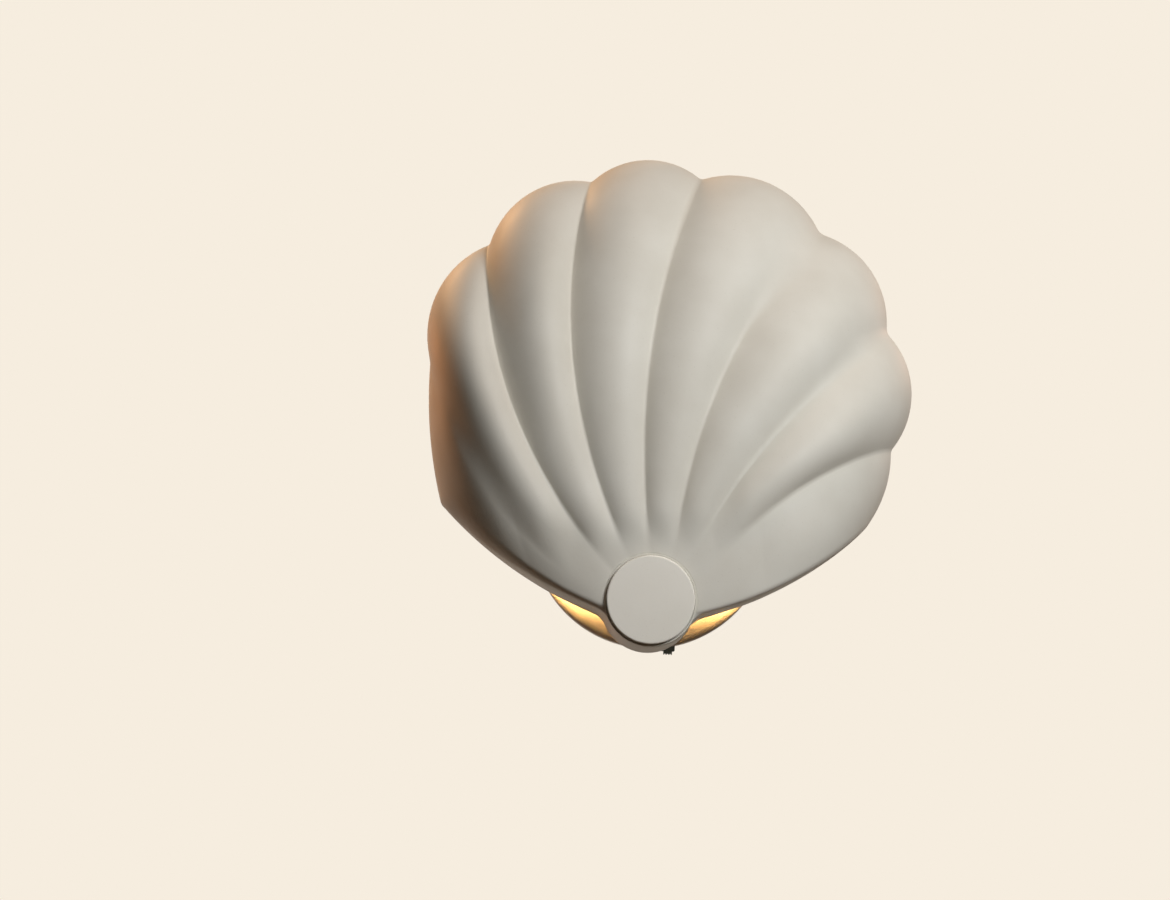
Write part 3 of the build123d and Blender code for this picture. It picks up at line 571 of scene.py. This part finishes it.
def glazed_stoneware(name, light, shadow):
    """Matt-glazed stoneware: pale clay body, cloudy glaze, fine pin-prick grain."""
    made, tree, shader, where = material(name, IOR=1.5, Specular_IOR_Level=0.14)
    cloud = noise(tree, where, 38, detail=3.0)
    grain = noise(tree, where, 0.9)
    pits = noise(tree, where, 2.6, detail=4.0)
    tone = ranged(tree, cloud, 0.0, 1.0, NOISE_LOW, NOISE_HIGH)
    speck = ranged(tree, grain, 0.0, 0.16, from_min=0.66, from_max=0.78)
    colour = mixed(tree, speck, mixed(tree, tone, light, shadow), "#8f877a")
    polish = ranged(tree, cloud, 0.46, 0.56, NOISE_LOW, NOISE_HIGH)
    fine = bumped(tree, grain, strength=0.10, depth=0.12)
    relief = bumped(tree, pits, strength=0.12, depth=0.25, over=fine)
    wire(tree, shader, colour, polish, relief)
    return made


def powder_coat(name, colour, shade):
    """Powder-coated steel: satin paint with a fine orange-peel skin."""
    made, tree, shader, where = material(name, IOR=1.5)
    peel = noise(tree, where, 1.4)
    cloud = noise(tree, where, 45)
    relief = bumped(tree, peel, strength=0.25, depth=0.08)
    polish = ranged(tree, peel, 0.38, 0.5)
    wire(tree, shader, mixed(tree, cloud, colour, shade), polish, relief)
    return made


def plated_metal(name, colour, dull, rough):
    """Plated or turned metal: faint tool marks, cloudy where it has dulled."""
    made, tree, shader, where = material(name, Metallic=1.0)
    cloud = noise(tree, where, 6, detail=4.0)
    marks = noise(tree, where, 0.5)
    relief = bumped(tree, marks, strength=0.15, depth=0.03)
    polish = ranged(tree, cloud, rough, rough + 0.16, NOISE_LOW, NOISE_HIGH)
    wire(tree, shader, mixed(tree, cloud, colour, dull), polish, relief)
    return made


def moulded(name, colour, shade, rough):
    """Moulded plastic or rubber: even colour, fine mould texture."""
    made, tree, shader, where = material(name, IOR=1.5)
    cloud = noise(tree, where, 9, detail=3.0)
    skin = noise(tree, where, 0.7)
    relief = bumped(tree, skin, strength=0.3, depth=0.03)
    polish = ranged(tree, skin, rough, rough + 0.12)
    wire(tree, shader, mixed(tree, cloud, colour, shade), polish, relief)
    return made


def lit_opal_glass(name, glow, strength):
    """Opal glass of a lit bulb: milky white, glowing warm."""
    made, tree, shader, where = material(name, Roughness=0.25, IOR=1.5)
    cloud = noise(tree, where, 20)
    tree.links.new(mixed(tree, cloud, "#fff3df", "#fbe9cd"), shader.inputs["Base Color"])
    shader.inputs["Emission Color"].default_value = linear(glow)
    shader.inputs["Emission Strength"].default_value = strength
    return made


FINISHES = {
    "shade_ceramic": glazed_stoneware("matt_glazed_stoneware", "#d3d1c8", "#cbc8be"),
    # painted light: the cap is the same glaze as the shade, painted lighter to stand in for the
    # light that its flat front catches
    "cap_ceramic": glazed_stoneware("matt_glazed_stoneware_cap_painted_lighter", "#ebe8df", "#e5e2d8"),
    "canopy_paint": powder_coat("powder_coated_steel", "#e8dfce", "#e0d5c2"),
    "zinc_steel": plated_metal("zinc_plated_steel", "#c9cbcc", "#a9abab", 0.28),
    "brass": plated_metal("turned_brass", "#d8b167", "#b58f4c", 0.26),
    "magnet_nickel": plated_metal("nickel_plated_magnet", "#cfcbc2", "#b3afa6", 0.18),
    "rubber_black": moulded("moulded_black_rubber", "#1b1b1a", "#242322", 0.62),
    "rubber_grey": moulded("moulded_grey_rubber", "#5c5b58", "#676661", 0.62),
    "terminal_plastic": moulded("moulded_polyamide", "#e6e2d6", "#dcd7c8", 0.42),
    "holder_plastic": moulded("phenolic_moulding", "#1d1a18", "#272321", 0.3),
    "switch_plastic": moulded("textured_abs", "#343a33", "#3d433b", 0.45),
    "knob_plastic": moulded("polished_abs", "#39402f", "#424936", 0.28),
    "lead_blue": moulded("pvc_insulation_blue", "#1f4f9c", "#1a4488", 0.36),
    "lead_brown": moulded("pvc_insulation_brown", "#5a3420", "#4c2b19", 0.36),
    "bulb_opal": lit_opal_glass("lit_opal_glass", "#ffc27d", 3.0),
    "bulb_white": moulded("white_polycarbonate", "#eeede8", "#e5e3dc", 0.3),
    "board_white": moulded("white_circuit_board", "#e9e9e4", "#dedfda", 0.4),
}


def dress_frame():
    """Gives every carried-over CAD node the finish of its slot."""
    for part in frame["record"]["subparts"]:
        node = frame["nodes"][part["node"]]
        for place in node.material_slots:
            place.material = FINISHES[part["material_slot"]]


# ------------------------------------------------------------ stage, in metres
CAMERA_PLACE = Vector((-0.02118, -0.900, -0.08685))
CAMERA_YAW = math.radians(-1.051)
CAMERA_PITCH = math.radians(8.189)
CAMERA_ROLL = math.radians(2.88)
FOCAL_PIXELS = 1640.0          # focal length in pixels of the photograph
IMAGE_WIDTH = 1170.0           # pixels
SENSOR = 36.0                  # mm
FLOOR_Z = -0.9
FLOOR_R = 0.95
FLOOR_CORNERS = 72
FLOOR_GLOW = 0.8               # share of the backdrop's tone that the camera sees on it
BACKGROUND = "#f6eddf"
AMBIENT_LIGHT = "#ffe6c4"
AMBIENT_STRENGTH = 0.02
SHADE_MIDDLE = Vector((0.005, -0.06, 0.06))
# lamp: azimuth (0 in front of the shade, 90 to its right) and elevation in degrees,
# distance from the shade and diameter in metres, power in watts, colour
LAMPS = {
    "key": (29, 19, 0.62, 0.22, 3.2, "#ffffff"),
    "rim": (-126, 40, 1.5, 0.5, 12.5, "#ffc68e"),
    "rim_low": (-127, 10, 1.5, 0.5, 3.8, "#ff9440"),
    "rim_right": (128, 22, 1.5, 0.5, 3.2, "#ffc39a"),
    "top": (0, 80, 1.5, 0.5, 4.4, "#ffd4b0"),
}
GLOW_PLACE = (0.046, -0.046, -0.030)       # of the right one; the left one mirrors it
GLOW_RADIUS = 0.012
GLOW_POWER = 0.33
GLOW_COLOUR = "#ffca84"


def make_camera():
    """Camera at the photograph's place, with its tilt and roll."""
    forward = Vector((math.sin(CAMERA_YAW) * math.cos(CAMERA_PITCH),
                      math.cos(CAMERA_YAW) * math.cos(CAMERA_PITCH), math.sin(CAMERA_PITCH)))
    right = Vector((math.cos(CAMERA_YAW), -math.sin(CAMERA_YAW), 0))
    up = right.cross(forward)
    turned_right = right * math.cos(CAMERA_ROLL) + up * math.sin(CAMERA_ROLL)
    turned_up = up * math.cos(CAMERA_ROLL) - right * math.sin(CAMERA_ROLL)
    data = bpy.data.cameras.new("camera")
    data.sensor_width = SENSOR
    data.lens = FOCAL_PIXELS / IMAGE_WIDTH * SENSOR
    camera = bpy.data.objects.new("camera", data)
    bpy.context.scene.collection.objects.link(camera)
    axes = Matrix((turned_right, turned_up, -forward)).transposed()
    camera.matrix_world = Matrix.Translation(CAMERA_PLACE) @ axes.to_4x4()
    bpy.context.scene.camera = camera


def make_floor():
    """Round pale floor, too small to reach into the photograph's view; the camera sees it
    lit up towards the backdrop's tone, with the object's shadow left in."""
    corners = [2 * math.pi * step / FLOOR_CORNERS for step in range(FLOOR_CORNERS)]
    mesh = bpy.data.meshes.new("floor")
    ring = [(FLOOR_R * math.cos(a), FLOOR_R * math.sin(a), FLOOR_Z) for a in corners]
    mesh.from_pydata(ring, [], [tuple(range(len(ring)))])
    floor = bpy.data.objects.new("floor", mesh)
    bpy.context.scene.collection.objects.link(floor)
    made, tree, shader, where = material("pale_floor", Roughness=0.9)
    grain = add(tree, "TexNoise", {"Vector": where, "Scale": 3.0, "Detail": 2.0})
    colour = mixed(tree, grain.outputs["Fac"], "#96918a", "#928d86")
    tree.links.new(colour, shader.inputs["Base Color"])
    seen = add(tree, "LightPath").outputs["Is Camera Ray"]
    lift = add(tree, "Math", {0: seen, 1: FLOOR_GLOW}, operation="MULTIPLY")
    shader.inputs["Emission Color"].default_value = linear(BACKGROUND)
    tree.links.new(lift.outputs["Value"], shader.inputs["Emission Strength"])
    mesh.materials.append(made)


def make_world():
    """Faint warm light from all round; the camera, gloss and glass see a pale backdrop."""
    world = bpy.data.worlds.new("studio")
    bpy.context.scene.world = world
    world.use_nodes = True
    tree = world.node_tree
    ambient = tree.nodes["Background"]
    ambient.inputs["Color"].default_value = linear(AMBIENT_LIGHT)
    ambient.inputs["Strength"].default_value = AMBIENT_STRENGTH
    backdrop = add(tree, "Background", {"Color": linear(BACKGROUND), "Strength": 1.0})
    path = add(tree, "LightPath")
    seen = path.outputs["Is Camera Ray"]
    for name in ("Is Glossy Ray", "Is Transmission Ray"):
        either = add(tree, "Math", {0: seen, 1: path.outputs[name]}, operation="MAXIMUM")
        seen = either.outputs["Value"]
    mix = add(tree, "MixShader", {0: seen, 1: ambient.outputs[0], 2: backdrop.outputs[0]})
    tree.links.new(mix.outputs[0], tree.nodes["World Output"].inputs["Surface"])


def add_lamp(name, kind, place, power, colour):
    """A lamp that the camera doesn't see."""
    data = bpy.data.lights.new(name, kind)
    data.energy = power
    data.color = linear(colour)[:3]
    lamp = bpy.data.objects.new(name, data)
    bpy.context.scene.collection.objects.link(lamp)
    lamp.location = place
    lamp.visible_camera = False
    return lamp


def make_studio_lamps():
    """Disc lamps round the shade, facing it."""
    for name, (azimuth, elevation, distance, size, power, colour) in LAMPS.items():
        turn, climb = math.radians(azimuth), math.radians(elevation)
        way = Vector((math.sin(turn) * math.cos(climb), -math.cos(turn) * math.cos(climb),
                      math.sin(climb)))
        lamp = add_lamp(name, "AREA", SHADE_MIDDLE + way * distance, power, colour)
        lamp.data.shape = "DISK"
        lamp.data.size = size
        lamp.rotation_euler = (-way).to_track_quat("-Z", "Y").to_euler()


def make_bulb_glow():
    """Small warm lamps between shade and canopy, for the light that the bulb throws there."""
    across, *rest = GLOW_PLACE
    for side in (-1, 1):
        place = (side * across, *rest)
        lamp = add_lamp(f"bulb_glow_{side}", "POINT", place, GLOW_POWER, GLOW_COLOUR)
        lamp.data.shadow_soft_size = GLOW_RADIUS


# ------------------------------------------------------------ build
bpy.context.scene.view_settings.view_transform = "Standard"
dress_frame()
make_shade()
make_camera()
make_floor()
make_world()
make_studio_lamps()
make_bulb_glow()
